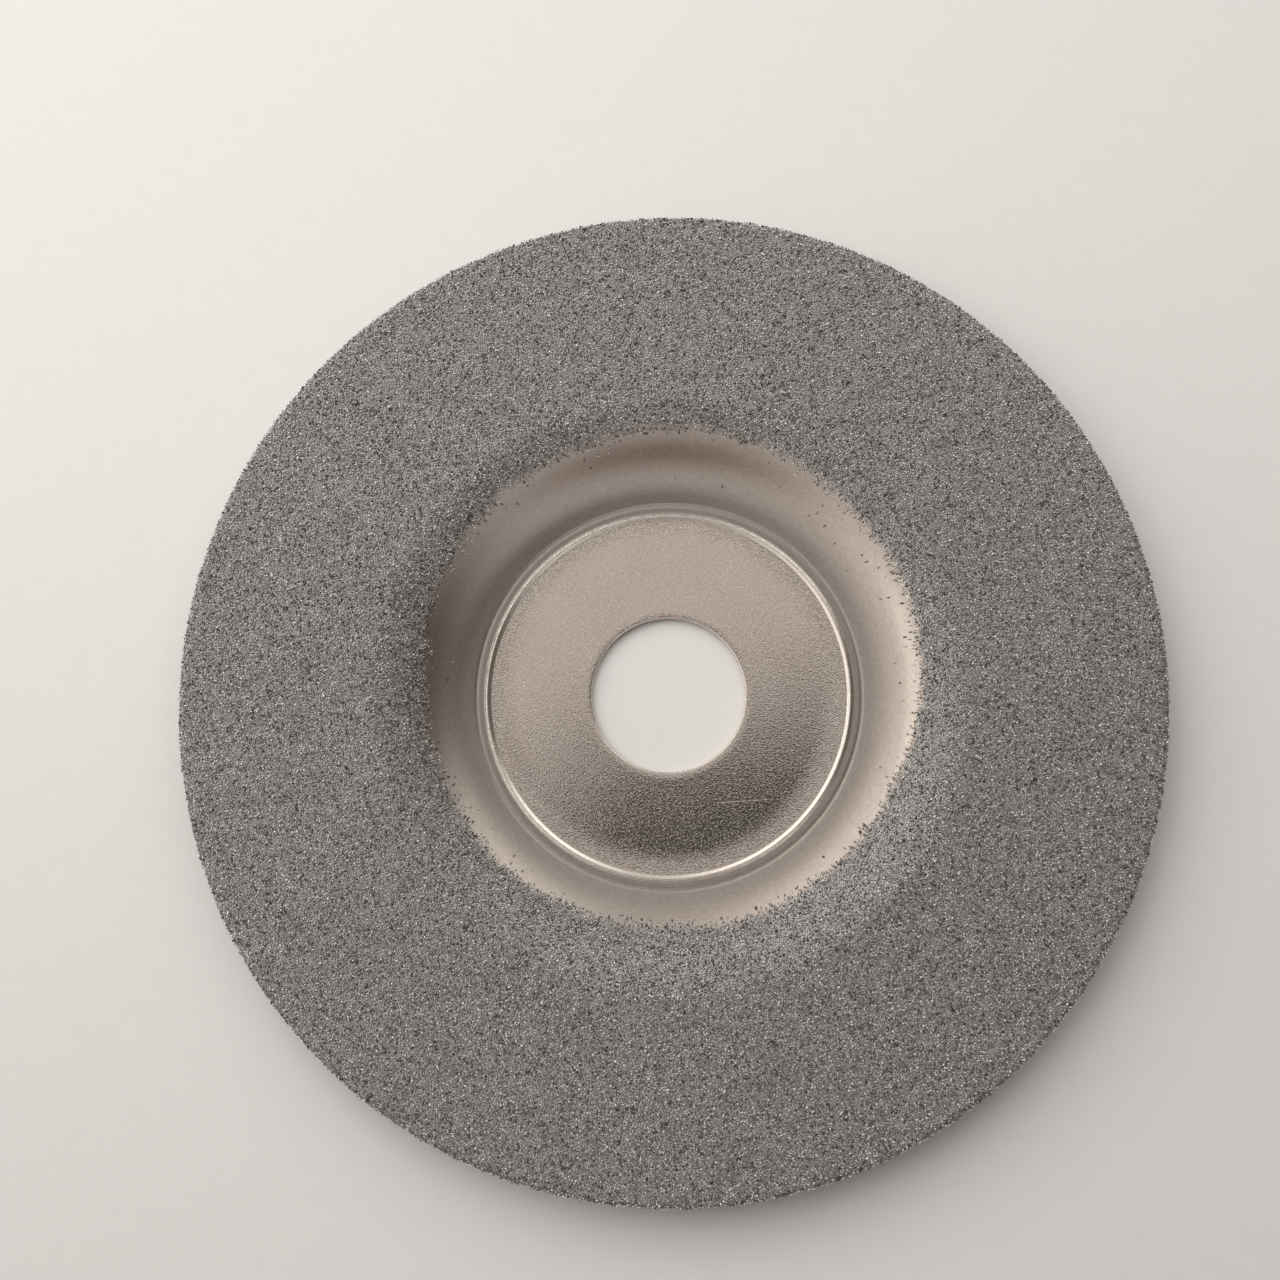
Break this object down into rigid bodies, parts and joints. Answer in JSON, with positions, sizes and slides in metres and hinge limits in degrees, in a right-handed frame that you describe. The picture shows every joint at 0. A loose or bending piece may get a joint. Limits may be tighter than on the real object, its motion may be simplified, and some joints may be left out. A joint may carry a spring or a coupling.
{
  "type": "dished diamond grinding wheel",
  "caption": "Dished electroplated diamond grinding wheel: pressed steel blank with a recessed hub and a round bore, and a ring of diamond grit in nickel.",
  "frame": {"origin": "centre of the hub's back face, which is the wheel's lowest face, on the spin axis", "axes": "+Z along the spin axis, from the back towards the side with the grit; +X and +Y are any two directions across it, because the wheel is round"},
  "size_m": [0.1, 0.1, 0.0064],
  "materials": {
    "bright_nickel": "bright nickel flash on pressed steel, fine satin grain",
    "matt_nickel": "matt nodular electroplated nickel between the grains",
    "diamond_grit": "coarse grey diamond crystals, glassy facets with sparkle"
  },
  "bodies": {
    "root": {"steel_blank": "bright_nickel", "nickel_bond": "matt_nickel", "diamond_grit": "diamond_grit"}
  },
  "joints": []
}
